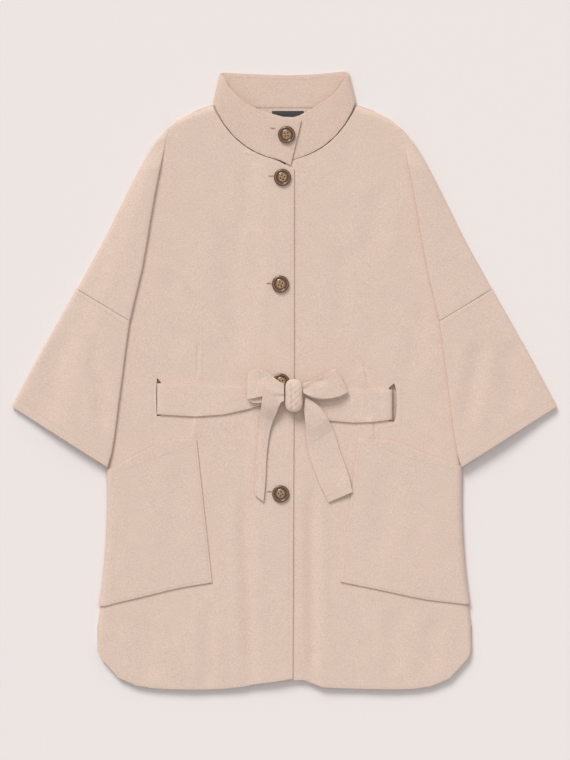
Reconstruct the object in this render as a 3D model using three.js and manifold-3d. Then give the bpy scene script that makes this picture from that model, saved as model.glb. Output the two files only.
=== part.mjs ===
// Belted wool coat, laid flat on its back with the front up.
// Units are millimetres. +X is the viewer's right (the wearer's left), +Y points to the collar
// and +Z points up from the surface. The origin is under the middle of the coat.
// Most pieces are walls: a middle surface, worked out from the cut, given the cloth's thickness.
// "out" is the distance from the centre line towards a side, so both sides share one drawing.

import * as THREE from 'three';
import { mergeVertices } from 'three/addons/utils/BufferGeometryUtils.js';
import Module from 'manifold-3d';

// ---- driving dimensions -------------------------------------------------------------------------

const cloth = 2.4;            // double-faced wool
const beltCloth = 3.0;        // the belt is the same wool, doubled and pressed
const gap = 0.3;              // between pieces at a seam, and under what lies on a panel
const layer = cloth + gap;    // from the middle of one cloth to the middle of the next
const backLevel = cloth / 2;  // middle of the back panel, which lies on the surface
const frontLevel = 8.8;       // middle of the fronts, over the hollow of the coat
const plyRadius = 1.5;        // roundness of the pressed folds
const plyStep = 2 * plyRadius;
const overlapLift = layer + 0.2;
const overlapEdge = 14;       // the upper front ends this far past the centre line
const underlapEdge = 24;      // the lower front ends this far past it, out of sight
const liftStart = 52;         // the upper front climbs onto the lower one between these
const liftEnd = 27;
const rollRadius = frontLevel - cloth - 3 * gap;   // fronts roll down to meet the back at the edges
const half = cloth / 2;

// Shoulder and outer sleeve edge, from the neck down to the cuff.
const outerEdge = [
  { y: 407, out: 107 }, { y: 400, out: 128 }, { y: 385, out: 157 }, { y: 370, out: 175 },
  { y: 355, out: 187 }, { y: 325, out: 207 }, { y: 266, out: 238 }, { y: 207, out: 267 },
  { y: 135, out: 307 }, { y: 30, out: 366 }, { y: -39, out: 403 },
];

// Fold where each sleeve lies over the body, from the shoulder down to the cuff.
const sleeveFold = [
  { y: 371, out: 172 }, { y: 310, out: 184 }, { y: 252, out: 195 }, { y: 163, out: 210 },
  { y: 87, out: 228 }, { y: -15, out: 242 }, { y: -104, out: 254 }, { y: -129, out: 261 },
];

// Side of the body, from the underarm down to where the hem turns.
const bodySide = [
  { y: 67, out: 255 }, { y: -60, out: 259 }, { y: -133, out: 261 }, { y: -178, out: 260 },
  { y: -237, out: 262 }, { y: -296, out: 267 }, { y: -330, out: 272 }, { y: -366, out: 277 },
  { y: -394, out: 277 },
];

// Neck edge of a front, from the closing to the shoulder.
const neckEdge = [
  { out: -24, y: 311 }, { out: -14, y: 313 }, { out: -2, y: 317 }, { out: 10, y: 324 },
  { out: 26, y: 329 }, { out: 41, y: 335 }, { out: 57, y: 344 }, { out: 75, y: 359 },
  { out: 90, y: 377 }, { out: 101, y: 394 }, { out: 107, y: 407 },
];

// Hems, from the closing to the side. The left front swings lower beside the closing.
const hemRight = [
  { out: -12, y: -441 }, { out: 1, y: -444 }, { out: 27, y: -447 }, { out: 54, y: -451 },
  { out: 75, y: -455 }, { out: 112, y: -457 }, { out: 160, y: -457 }, { out: 189, y: -455.5 },
  { out: 211, y: -453 }, { out: 232, y: -447 }, { out: 252, y: -435 }, { out: 267, y: -419 },
  { out: 277, y: -394 },
];
const hemLeft = [
  { out: -24, y: -442 }, { out: 11, y: -443.5 }, { out: 32, y: -444 }, { out: 39, y: -449 },
  { out: 48, y: -453 }, { out: 91, y: -455.5 }, { out: 130, y: -456.5 }, { out: 171, y: -457 },
  { out: 205, y: -454.5 }, { out: 232, y: -447 }, { out: 252, y: -435 }, { out: 267, y: -419 },
  { out: 277, y: -394 },
];

const underarm = { out: 255, y: 67 };
const seamOuter = { out: 307, y: 135 };       // armhole seam at the outer edge
const seamInner = { out: 228, y: 87 };        // armhole seam at the fold
const cuffOuter = { out: 403, y: -39 };
const cuffInner = { out: 261, y: -129 };
const pleatTop = { out: 172, y: 371 };        // the pleat opens from this point of the shoulder

// Long soft folds of the fronts: ridges that fade in and out along their length.
const ridgesRight = [
  { x: -66, bottomX: -62, from: -120, to: -460, height: 1.5, width: 22 },
  { x: -118, bottomX: -126, from: -330, to: -460, height: 1.2, width: 26 },
];
const ridgesLeft = [
  { x: 62, bottomX: 66, from: -130, to: -460, height: 1.9, width: 20 },
  { x: 138, bottomX: 140, from: -340, to: -460, height: 1.2, width: 26 },
];

// The belt turns through a slot at x. The slot's edges stand this far from it: the inner edge
// towards the closing, the outer edge towards the side. The left slot gapes.
const slotRight = { x: -187.2, inner: 4.2, outer: 2.3, top: 3, bottom: -53.5, beltTop: -4 };
const slotLeft = { x: 158.2, inner: 4.2, outer: 7.6, top: -5, bottom: -62, beltTop: -13 };

// ---- small helpers ------------------------------------------------------------------------------

const clamp = (value) => Math.min(1, Math.max(0, value));
const ease = (value) => clamp(value) ** 2 * (3 - 2 * clamp(value));
const mix = (a, b, share) => a + (b - a) * share;
const descent = (share) => ease((share - 0.38) / 0.62);   // a top ply stays up over the plies below it
const spread = (count) => Array.from({ length: count + 1 }, (_, index) => index / count);
const lerpPoint = (a, b, share) => ({ out: mix(a.out, b.out, share), y: mix(a.y, b.y, share) });
const apart = (a, b) => Math.hypot(b.out - a.out, b.y - a.y);

// Smooth value between the rows of a table, from its column `from` to its column `to`.
function read(table, from, to, value) {
  const rising = table[table.length - 1][from] > table[0][from];
  const past = (row) => (rising ? row[from] >= value : row[from] <= value);
  const found = table.findIndex(past);
  const next = Math.max(1, found < 0 ? table.length - 1 : found);
  const a = table[next - 1];
  const b = table[next];
  const before = table[Math.max(0, next - 2)];
  const after = table[Math.min(table.length - 1, next + 1)];
  const step = b[from] - a[from];
  const share = clamp((value - a[from]) / step);
  const slopeA = (b[to] - before[to]) / (b[from] - before[from]) * step;
  const slopeB = (after[to] - a[to]) / (after[from] - a[from]) * step;
  const s2 = share * share;
  const s3 = s2 * share;
  return (2 * s3 - 3 * s2 + 1) * a[to] + (s3 - 2 * s2 + share) * slopeA
    + (3 * s2 - 2 * s3) * b[to] + (s3 - s2) * slopeB;
}

// Middle surface under construction: points that two patches share are stored once.
class Sheet {
  points = [];
  cells = [];
  known = new Map();

  point(p) {
    const key = [p.x, p.y, p.z].map((value) => value.toFixed(3)).join();
    if (!this.known.has(key)) {
      this.known.set(key, this.points.length);
      this.points.push(new THREE.Vector3(p.x, p.y, p.z));
    }
    return this.known.get(key);
  }

  // Adds a patch of four-sided cells between rows of points.
  patch(rows, closed = false) {
    const grid = rows.map((row) => row.map((p) => this.point(p)));
    const last = grid[0].length - (closed ? 0 : 1);
    for (let row = 0; row < grid.length - 1; row += 1) {
      for (let column = 0; column < last; column += 1) {
        const next = (column + 1) % grid[0].length;
        this.cells.push([grid[row][column], grid[row][next], grid[row + 1][next], grid[row + 1][column]]);
      }
    }
    return this;
  }
}

// Closed geometry from loose vertices and triangles, turned so that its faces point out.
function closedGeometry(vertices, triangles) {
  const a = new THREE.Vector3();
  let volume = 0;
  for (const [i, j, k] of triangles) volume += a.crossVectors(vertices[j], vertices[k]).dot(vertices[i]);
  const facing = volume < 0 ? triangles.map(([i, j, k]) => [i, k, j]) : triangles;
  const geometry = new THREE.BufferGeometry();
  const numbers = vertices.flatMap((v) => [v.x, v.y, v.z]);
  geometry.setAttribute('position', new THREE.Float32BufferAttribute(numbers, 3));
  geometry.setIndex(facing.flat());
  return geometry;
}

// Gives a middle surface its thickness, and closes it along every free edge.
function wall(sheet, thickness) {
  const { points, cells } = sheet;
  const normals = points.map(() => new THREE.Vector3());
  const diagonal = new THREE.Vector3();
  const other = new THREE.Vector3();
  for (const [i, j, k, l] of cells) {
    diagonal.subVectors(points[k], points[i]);
    other.subVectors(points[l], points[j]);
    const facing = diagonal.cross(other).normalize();
    for (const corner of [i, j, k, l]) normals[corner].add(facing);
  }
  const raised = (side) => points.map((p, i) => normals[i].clone().setLength(side * thickness / 2).add(p));
  const vertices = [...raised(1), ...raised(-1)];
  const under = points.length;
  const triangles = [];
  const edges = new Map();
  for (const [i, j, k, l] of cells) {
    triangles.push([i, j, k], [i, k, l]);
    triangles.push([under + i, under + k, under + j], [under + i, under + l, under + k]);
    for (const [from, to] of [[i, j], [j, k], [k, l], [l, i]]) {
      const key = `${Math.min(from, to)}_${Math.max(from, to)}`;
      if (edges.has(key)) edges.delete(key);
      else edges.set(key, [from, to]);
    }
  }
  for (const [from, to] of edges.values()) {
    triangles.push([from, under + from, under + to], [from, under + to, to]);
  }
  return closedGeometry(vertices, triangles);
}

// ---- joins and cuts -----------------------------------------------------------------------------

const wasm = await Module();
wasm.setup();

function toSolid(geometry) {
  const plain = new THREE.BufferGeometry();
  plain.setAttribute('position', geometry.getAttribute('position').clone());
  if (geometry.index) plain.setIndex(geometry.index.clone());
  const merged = mergeVertices(plain, 1e-4);
  return new wasm.Manifold(new wasm.Mesh({
    numProp: 3,
    vertProperties: new Float32Array(merged.getAttribute('position').array),
    triVerts: new Uint32Array(merged.index.array),
  }));
}

function toGeometry(solid) {
  const mesh = solid.getMesh();
  const geometry = new THREE.BufferGeometry();
  geometry.setAttribute('position', new THREE.Float32BufferAttribute(mesh.vertProperties, 3));
  geometry.setIndex(Array.from(mesh.triVerts));
  return geometry;
}

const cut = (geometry, tool) => toGeometry(toSolid(geometry).subtract(toSolid(tool)));

// ---- fronts -------------------------------------------------------------------------------------

// Columns near an outer edge, by their turn round the roll, then evenly to the closing.
const rollTurns = spread(4).map((share) => (1 - share) * Math.PI / 2);
const rollReach = (turn) => half + rollRadius * (1 - Math.sin(turn));
const rollDrop = (inside) => {
  const reach = clamp((inside - half) / rollRadius);
  return rollRadius * (1 - Math.sqrt(1 - (1 - reach) ** 2));
};

// Height of the upper front where it climbs over the lower one, and of the long ridges.
const closingLift = (x) => overlapLift * (1 - ease((-x - liftEnd) / (liftStart - liftEnd)));
function ridgeHeight(ridges, x, y) {
  return ridges.reduce((height, ridge) => {
    const down = (ridge.from - y) / (ridge.from - ridge.to);
    const away = (x - mix(ridge.x, ridge.bottomX, clamp(down))) / ridge.width;
    return height + ridge.height * ease(down * 2) * Math.exp(-away * away);
  }, 0);
}

function frontHeight(side, x, y) {
  const right = side < 0;
  return frontLevel + (right ? closingLift(x) : 0) + ridgeHeight(right ? ridgesRight : ridgesLeft, x, y);
}

// The pleat's own section: two rounded turns and the straight ply between them.
const outward = { out: 0.85, y: 0.53 };       // the way the upper sleeve leaves the fold
function pleat(share) {
  const y = mix(pleatTop.y, seamInner.y, share);
  const fold = { out: read(sleeveFold, 'y', 'out', y), y };
  const turn = lerpPoint(pleatTop, underarm, share);
  const depth = apart(fold, turn);
  const away = depth > 1
    ? { out: (turn.out - fold.out) / depth, y: (turn.y - fold.y) / depth }
    : { out: 0.8, y: -0.6 };
  const closed = ease(depth / 9);
  const angle = Math.max(0.35, Math.PI * closed);
  const inset = mix(1, half + plyRadius, closed);
  const innerTurn = {
    out: turn.out - inset * mix(outward.out, away.out, closed),
    y: turn.y - inset * mix(outward.y, away.y, closed),
  };
  const outerTurn = { out: fold.out + inset * outward.out, y: fold.y + inset * outward.y };
  const steps = spread(4).map((part) => part * angle);
  const rise = plyRadius * (1 - Math.cos(angle));
  const first = steps.map((a) => ({
    out: innerTurn.out + away.out * plyRadius * Math.sin(a),
    y: innerTurn.y + away.y * plyRadius * Math.sin(a),
    z: frontLevel + plyRadius * (1 - Math.cos(a)),
  }));
  const second = steps.map((a) => ({
    out: outerTurn.out - outward.out * plyRadius * Math.sin(angle - a),
    y: outerTurn.y - outward.y * plyRadius * Math.sin(angle - a),
    z: frontLevel + rise + plyRadius * (Math.cos(angle - a) - Math.cos(angle)),
  }));
  return [...first, ...second];
}

// Points of one row of a front, from the closing to its outer end.
function bodyRow(side, start, end, bend, rolled, columns) {
  const length = apart(start, end);
  const fromEnd = rollTurns.map((turn) => 1 - rollReach(turn) / length);
  const inner = spread(columns).slice(0, -1).map((share) => share * fromEnd[4]);
  const shares = [...inner, ...fromEnd.toReversed()];
  if (!rolled) shares[shares.length - 1] = 1;
  return shares.map((share) => {
    const plain = lerpPoint(start, end, share);
    const shift = bend(share);
    const out = plain.out + shift.out;
    const y = plain.y + shift.y;
    const drop = rolled ? rollDrop((1 - share) * length) : 0;
    return { x: side * out, y, z: frontHeight(side, side * out, y) - drop };
  });
}

function frontSheet(side) {
  const right = side < 0;
  const closing = right ? overlapEdge : underlapEdge;
  const hem = right ? hemRight : hemLeft;
  const columns = 11;
  const pleatStart = 290;
  const neckStart = { out: -closing, y: read(neckEdge, 'out', 'y', -closing) };
  const neckEnd = outerEdge[0];
  const hemStart = { out: -closing + (right ? 2 : 0), y: hem[0].y };
  const hemEnd = bodySide[bodySide.length - 1];
  const bendOf = (edge, start, end, strength) => (share) => {
    const plain = lerpPoint(start, end, share);
    return { out: 0, y: strength * (read(edge, 'out', 'y', plain.out) - plain.y) };
  };
  const body = [];
  for (const share of spread(3).slice(0, -1)) {
    const y = mix(neckEnd.y, pleatTop.y, share);
    const start = { out: -closing, y: mix(neckStart.y, pleatStart, share) };
    const end = { out: read(outerEdge, 'y', 'out', y), y };
    const bend = bendOf(neckEdge, neckStart, neckEnd, 1 - share);
    body.push(bodyRow(side, start, end, bend, true, columns));
  }
  const wing = [];
  const wingShares = [0, 0.03, 0.1, 0.2, 0.32, 0.46, 0.6, 0.74, 0.88, 1];
  for (const share of wingShares) {
    const section = pleat(share);
    const start = { out: -closing, y: mix(pleatStart, underarm.y, share) };
    const none = () => ({ out: 0, y: 0 });
    body.push(bodyRow(side, start, section[0], none, false, columns));
    body.at(-1).pop();
    body.at(-1).push({ x: side * section[0].out, y: section[0].y, z: section[0].z });
    const outerY = mix(352, seamOuter.y, share);
    const outer = { out: read(outerEdge, 'y', 'out', outerY), y: outerY };
    const last = section.at(-1);
    const length = apart(last, outer);
    const rise = last.z - frontLevel;
    const rolled = rollTurns.toReversed().map((turn) => 1 - rollReach(turn) / length);
    const shares = [...spread(4).slice(1, -1), ...rolled];
    const fromTop = share * (pleatTop.y - seamInner.y);
    wing.push([...section, ...shares.map((part) => {
      const p = lerpPoint(last, outer, part);
      const inside = Math.min((1 - part) * length, fromTop + half);
      return { ...p, z: frontLevel + rise * (1 - descent(part)) - rollDrop(inside) };
    })].map((p) => ({ x: side * p.out, y: p.y, z: p.z })));
  }
  wing[0] = wing[0].map((p, index) => (index === 0 ? p : { ...p, z: Math.min(p.z, frontLevel - 3) }));
  for (const share of [0.05, 0.14, 0.24, 0.34, 0.44, 0.54, 0.64, 0.74, 0.84, 0.92, 1]) {
    const y = mix(underarm.y, hemEnd.y, share);
    const start = { out: mix(-closing, hemStart.out, share), y: mix(underarm.y, hemStart.y, share) };
    const end = { out: read(bodySide, 'y', 'out', y), y };
    const bend = (part) => {
      const plain = lerpPoint(hemStart, hemEnd, part);
      const strength = share ** 1.5;
      const level = read(hem, 'out', 'y', mix(hemStart.out, hemEnd.out, part));
      return { out: 0, y: strength * (level - plain.y) };
    };
    body.push(bodyRow(side, start, end, bend, true, columns));
  }
  return new Sheet().patch(body).patch(wing);
}

function slotTool(slot) {
  const away = Math.sign(slot.x);
  const inner = slot.x - away * slot.inner;
  const outer = slot.x + away * slot.outer;
  const tip = mix(slot.x, outer, 0.4);
  const middle = (slot.top + slot.bottom) / 2;
  const shape = new THREE.Shape();
  shape.moveTo(inner, slot.bottom + 1.5);
  shape.lineTo(tip, slot.bottom);
  shape.quadraticCurveTo(outer, slot.bottom + 3, outer, middle);
  shape.quadraticCurveTo(outer, slot.top - 3, tip, slot.top);
  shape.lineTo(inner, slot.beltTop + 1.2);
  const tool = new THREE.ExtrudeGeometry(shape, { depth: 8, bevelEnabled: false, curveSegments: 4 });
  return tool.translate(0, 0, frontLevel - 4);
}

// ---- back ---------------------------------------------------------------------------------------

function backPanel() {
  const backHem = hemRight.filter((row) => row.out > 0).map((row) => ({ out: row.out, y: row.y + 1.5 }));
  const side = [...bodySide].reverse();
  const wing = [{ out: 300.5, y: 133 }, ...outerEdge.filter((row) => row.y >= seamOuter.y).reverse()];
  const neck = [{ out: 80, y: 404 }, { out: 45, y: 402 }];
  const oneSide = [...backHem.slice(0, -1), ...side, ...wing, ...neck];
  const mirrored = oneSide.map((row) => ({ out: -row.out, y: row.y })).reverse();
  const shape = new THREE.Shape([...oneSide, ...mirrored].map((row) => new THREE.Vector2(row.out, row.y)));
  return new THREE.ExtrudeGeometry(shape, { depth: cloth, bevelEnabled: false });
}

// ---- sleeves ------------------------------------------------------------------------------------

// A flattened tube: it lies on the surface, and its inner edge climbs onto the body.
function sleeveSheet(side) {
  const upperStep = 4 * plyRadius;
  const lowerLevel = frontLevel + plyStep;
  const sideTurn = (frontLevel - backLevel) / 2;
  const rows = spread(11).map((share) => {
    const y = mix(seamInner.y - 2.6, cuffInner.y, share);
    const fold = { out: read(sleeveFold, 'y', 'out', y), y };
    const outerY = mix(seamOuter.y - 0.6, cuffOuter.y, share);
    const outer = { out: read(outerEdge, 'y', 'out', outerY) + 0.2 * (1 - share), y: outerY };
    const rest = {
      out: mix(underarm.out + 2, cuffInner.out + 6, share),
      y: mix(underarm.y - 6, cuffInner.y + 3, share),
    };
    const toOuter = (length) => lerpPoint(fold, outer, length / apart(fold, outer));
    const fromOuter = (length) => lerpPoint(outer, fold, length / apart(fold, outer));
    const foldCentre = toOuter(half + plyRadius);
    const turnCentre = fromOuter(half + sideTurn);
    const top = spread(6).map((part) => ({
      ...lerpPoint(foldCentre, turnCentre, part),
      z: frontLevel + upperStep * (1 - descent(part)),
    }));
    const round = spread(6).slice(1, -1).map((part) => ({
      ...fromOuter(half + sideTurn * (1 - Math.sin(part * Math.PI))),
      z: backLevel + sideTurn * (1 + Math.cos(part * Math.PI)),
    }));
    const slope = lerpPoint(rest, turnCentre, 26 / apart(rest, turnCentre));
    const bottom = spread(3).map((part) => ({ ...lerpPoint(turnCentre, slope, part), z: backLevel }));
    const climb = spread(4).slice(1).map((part) => ({
      ...lerpPoint(slope, rest, part),
      z: mix(backLevel, lowerLevel, ease(part)),
    }));
    const onBody = { ...foldCentre, z: lowerLevel };
    const foldTurn = spread(5).slice(1, -1).map((part) => ({
      ...toOuter(half + plyRadius * (1 - Math.sin(part * Math.PI))),
      z: lowerLevel + plyRadius * (1 - Math.cos(part * Math.PI)),
    }));
    return [...top, ...round, ...bottom, ...climb, onBody, ...foldTurn]
      .map((p) => ({ x: side * p.out, y: p.y, z: p.z }));
  });
  return new Sheet().patch(rows, true);
}

// ---- collar -------------------------------------------------------------------------------------

// The band from its upper end at the closing, round the neck, to its end underneath.
// Each row is one place round the neck: the sewn edge below and the free edge above.
const overEnd = frontLevel + overlapLift;
const collarRows = [
  { sewnX: 9, sewnY: 316.4, sewnZ: overEnd, freeX: 25, freeY: 384, freeZ: overEnd + 1 },
  { sewnX: 2, sewnY: 320.4, sewnZ: overEnd, freeX: 17, freeY: 388, freeZ: overEnd + 1 },
  { sewnX: -10, sewnY: 326, sewnZ: overEnd, freeX: -2, freeY: 388.5, freeZ: overEnd + 1 },
  { sewnX: -26, sewnY: 329.8, sewnZ: overEnd, freeX: -22, freeY: 394, freeZ: overEnd + 1 },
  { sewnX: -41, sewnY: 336.2, sewnZ: frontLevel + 1.2, freeX: -40, freeY: 400, freeZ: frontLevel + 4 },
  { sewnX: -57, sewnY: 345.4, sewnZ: frontLevel, freeX: -57, freeY: 409, freeZ: frontLevel + 4 },
  { sewnX: -74.4, sewnY: 360, sewnZ: frontLevel, freeX: -73, freeY: 422, freeZ: frontLevel + 4 },
  { sewnX: -89, sewnY: 378, sewnZ: frontLevel, freeX: -83, freeY: 434, freeZ: frontLevel + 3 },
  { sewnX: -99, sewnY: 396, sewnZ: frontLevel, freeX: -89, freeY: 448, freeZ: frontLevel + 2 },
  { sewnX: -103.8, sewnY: 408.8, sewnZ: 7.4, freeX: -93.3, freeY: 451, freeZ: 7.6 },
  { sewnX: -104.8, sewnY: 409, sewnZ: 5, freeX: -94.6, freeY: 452.5, freeZ: 5 },
  { sewnX: -103.8, sewnY: 409, sewnZ: 2.4, freeX: -93.3, freeY: 454, freeZ: 2.4 },
  { sewnX: -100, sewnY: 408, sewnZ: backLevel, freeX: -89, freeY: 455, freeZ: backLevel },
  { sewnX: -80, sewnY: 404.8, sewnZ: backLevel, freeX: -72, freeY: 454, freeZ: backLevel },
  { sewnX: -45, sewnY: 402.6, sewnZ: backLevel, freeX: -40, freeY: 452.5, freeZ: backLevel },
  { sewnX: 0, sewnY: 402.6, sewnZ: backLevel, freeX: 0, freeY: 451, freeZ: backLevel },
  { sewnX: 45, sewnY: 402.6, sewnZ: backLevel, freeX: 40, freeY: 452, freeZ: backLevel },
  { sewnX: 80, sewnY: 404.8, sewnZ: backLevel, freeX: 72, freeY: 455, freeZ: backLevel },
  { sewnX: 100, sewnY: 408, sewnZ: backLevel, freeX: 88, freeY: 456.5, freeZ: backLevel },
  { sewnX: 103.8, sewnY: 409, sewnZ: 2.4, freeX: 92.6, freeY: 455.5, freeZ: 2.4 },
  { sewnX: 104.8, sewnY: 409, sewnZ: 5, freeX: 94.2, freeY: 454, freeZ: 5 },
  { sewnX: 103.8, sewnY: 408.8, sewnZ: 7.4, freeX: 93.3, freeY: 451, freeZ: 7.6 },
  { sewnX: 99, sewnY: 396, sewnZ: frontLevel, freeX: 89, freeY: 445, freeZ: frontLevel + 2 },
  { sewnX: 89, sewnY: 378, sewnZ: frontLevel, freeX: 81, freeY: 432, freeZ: frontLevel + 2 },
  { sewnX: 74.4, sewnY: 360, sewnZ: frontLevel, freeX: 68, freeY: 419, freeZ: frontLevel + 2 },
  { sewnX: 57, sewnY: 345.4, sewnZ: frontLevel, freeX: 52, freeY: 409, freeZ: frontLevel + 1 },
  { sewnX: 41, sewnY: 336.2, sewnZ: frontLevel, freeX: 36, freeY: 398.5, freeZ: frontLevel + 0.4 },
  { sewnX: 26, sewnY: 329.8, sewnZ: frontLevel, freeX: 22, freeY: 391, freeZ: frontLevel },
  { sewnX: 8, sewnY: 324, sewnZ: frontLevel, freeX: 6, freeY: 386, freeZ: frontLevel },
  { sewnX: -10, sewnY: 324.6, sewnZ: frontLevel, freeX: -8, freeY: 385, freeZ: frontLevel },
  { sewnX: -21, sewnY: 328, sewnZ: frontLevel, freeX: -18, freeY: 387, freeZ: frontLevel },
];

function collarSheet() {
  return new Sheet().patch(collarRows.map((row) => spread(3).map((share) => ({
    x: mix(row.sewnX, row.freeX, share),
    y: mix(row.sewnY, row.freeY, share),
    z: mix(row.sewnZ, row.freeZ, share),
  }))));
}

// ---- pockets ------------------------------------------------------------------------------------

// Each pocket's mouth and lower edge, from the inner side to the side seam.
const pocketRight = {
  mouth: [{ out: 130, y: -88 }, { out: 139, y: -88.5 }, { out: 190, y: -108 }, { out: 254, y: -131 }],
  lower: [{ out: 107, y: -299 }, { out: 149, y: -308 }, { out: 208, y: -321.5 }, { out: 270, y: -334 }],
};
const pocketLeft = {
  mouth: [{ out: 109, y: -87.5 }, { out: 132, y: -89.5 }, { out: 184, y: -109 }, { out: 254, y: -126 }],
  lower: [{ out: 82, y: -298 }, { out: 135, y: -310.5 }, { out: 200, y: -324 }, { out: 268, y: -331 }],
};

function pocketSheet(side, pocket) {
  const columns = 7;
  const rows = spread(7).map((down) => {
    const along = (table, share) => read(table.map((p, i) => ({ ...p, at: i / 3 })), 'at', 'y', share);
    const inner = mix(pocket.mouth[0].out, pocket.lower[0].out, down);
    const plain = spread(columns).slice(0, -1).map((share) => share * 0.97);
    const flat = plain.map((share) => {
      const y = mix(along(pocket.mouth, share), along(pocket.lower, share), down);
      const edge = read(bodySide, 'y', 'out', y) - half - rollRadius;
      const out = mix(inner, edge, share / 0.97);
      const lift = 1.4 * Math.sin(Math.PI * share) * (1 - down) ** 4;
      return { x: side * out, y, z: frontHeight(side, side * out, y) + layer + lift };
    });
    const y = mix(along(pocket.mouth, 1), along(pocket.lower, 1), down);
    const edge = read(bodySide, 'y', 'out', y) - half - rollRadius;
    const round = rollTurns.toReversed().map((turn) => ({
      x: side * (edge + (rollRadius + layer) * Math.sin(turn)),
      y,
      z: frontLevel - rollRadius + (rollRadius + layer) * Math.cos(turn),
    }));
    return [...flat, ...round];
  });
  return new Sheet().patch(rows);
}

// ---- belt and bow -------------------------------------------------------------------------------

// A strip of cloth between two edges, given at stations along it.
// crown is how far its middle stands above its edges.
function strip(stations, across = 2, perStep = 2) {
  const curveOf = (key) => new THREE.CatmullRomCurve3(stations.map((s) => new THREE.Vector3(...s[key])));
  const near = curveOf('near');
  const far = curveOf('far');
  const steps = (stations.length - 1) * perStep;
  const rows = spread(steps).map((share) => {
    const a = near.getPoint(share);
    const b = far.getPoint(share);
    const at = Math.min(stations.length - 2, Math.floor(share * (stations.length - 1)));
    const part = share * (stations.length - 1) - at;
    const crown = mix(stations[at].crown ?? 0, stations[at + 1].crown ?? 0, part);
    return spread(across).map((side) => {
      const p = a.clone().lerp(b, side);
      return { x: p.x, y: p.y, z: p.z + crown * Math.sin(Math.PI * side) };
    });
  });
  return new Sheet().patch(rows);
}

const onFront = frontLevel + half + gap + beltCloth / 2;     // middle of a belt that lies on a front
const onOverlap = onFront + overlapLift;                      // the same, on the upper front's closing
const insideLevel = 5.0;                                      // middle of the belt inside the coat
const slotTurn = (onFront - insideLevel) / 2;

// One belt stretch: along the front, round the slot's edge and a little way back inside.
function beltStretch(side, slot, stations) {
  const inward = -side;
  const last = stations.at(-1);
  const turn = spread(4).map((share) => share * Math.PI);
  const centre = slot.x + inward * slotTurn;
  const bend = turn.map((angle) => ({
    x: centre - inward * slotTurn * Math.sin(angle),
    z: insideLevel + slotTurn * (1 + Math.cos(angle)),
  }));
  const rows = [...stations.slice(0, -1), ...bend.map((p) => ({ ...p, top: last.top, bottom: last.bottom })),
    { x: centre + inward * 22, z: insideLevel, top: last.top, bottom: last.bottom }];
  return new Sheet().patch(rows.map((row) => spread(2).map((share) => ({
    x: row.x, y: mix(row.top, row.bottom, share), z: row.z,
  }))));
}

const beltRight = [
  { x: 12, top: -17.5, bottom: -36, z: onOverlap }, { x: -10, top: -17.3, bottom: -36, z: onOverlap },
  { x: -27, top: -12, bottom: -37, z: onOverlap + 0.2 }, { x: -40, top: -9.5, bottom: -39, z: onFront + 2.2 },
  { x: -54, top: -9, bottom: -43, z: onFront + 0.7 }, { x: -90, top: -8, bottom: -51, z: onFront },
  { x: -132, top: -6.5, bottom: -54, z: onFront }, { x: slotRight.x, top: -5, bottom: -51, z: onFront },
];
const beltLeft = [
  { x: 15, top: -17.5, bottom: -38, z: onOverlap }, { x: 24, top: -15, bottom: -44, z: onFront + 1.6 },
  { x: 34, top: -15, bottom: -50, z: onFront }, { x: 66, top: -14.5, bottom: -60, z: onFront },
  { x: 101, top: -14, bottom: -63, z: onFront }, { x: 130, top: -14, bottom: -62, z: onFront },
  { x: slotLeft.x, top: -14, bottom: -59, z: onFront },
];

function beltInside() {
  const fromX = slotRight.x + slotTurn + 22 + gap;
  const toX = slotLeft.x - slotTurn - 22 - gap;
  const shape = new THREE.Shape([
    new THREE.Vector2(fromX, -51), new THREE.Vector2(toX, -59),
    new THREE.Vector2(toX, -14), new THREE.Vector2(fromX, -5),
  ]);
  const geometry = new THREE.ExtrudeGeometry(shape, { depth: beltCloth, bevelEnabled: false });
  return geometry.translate(0, 0, insideLevel - beltCloth / 2);
}

// The knot: two turns of cloth side by side, as one rounded body with a crease between them.
const knot = { x: 13.7, y: -23, z: 25.2, halfWidth: 13.7, halfLength: 24.5, halfHeight: 7 };
function knotGeometry() {
  const geometry = new THREE.SphereGeometry(1, 20, 12);
  const place = geometry.getAttribute('position');
  const squarer = (value, power) => Math.sign(value) * Math.abs(value) ** power;
  for (let index = 0; index < place.count; index += 1) {
    const x = squarer(place.getX(index), 0.8);
    const y = squarer(place.getY(index), 0.75);
    const z = squarer(place.getZ(index), 0.8);
    const crease = z > 0 ? 1.6 * Math.exp(-(((x + 0.2) / 0.16) ** 2)) * z : 0;
    place.setXYZ(index, knot.x + x * knot.halfWidth, knot.y + y * knot.halfLength,
      knot.z + z * knot.halfHeight - crease);
  }
  geometry.deleteAttribute('normal');
  geometry.deleteAttribute('uv');
  return mergeVertices(geometry, 1e-4);
}

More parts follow.
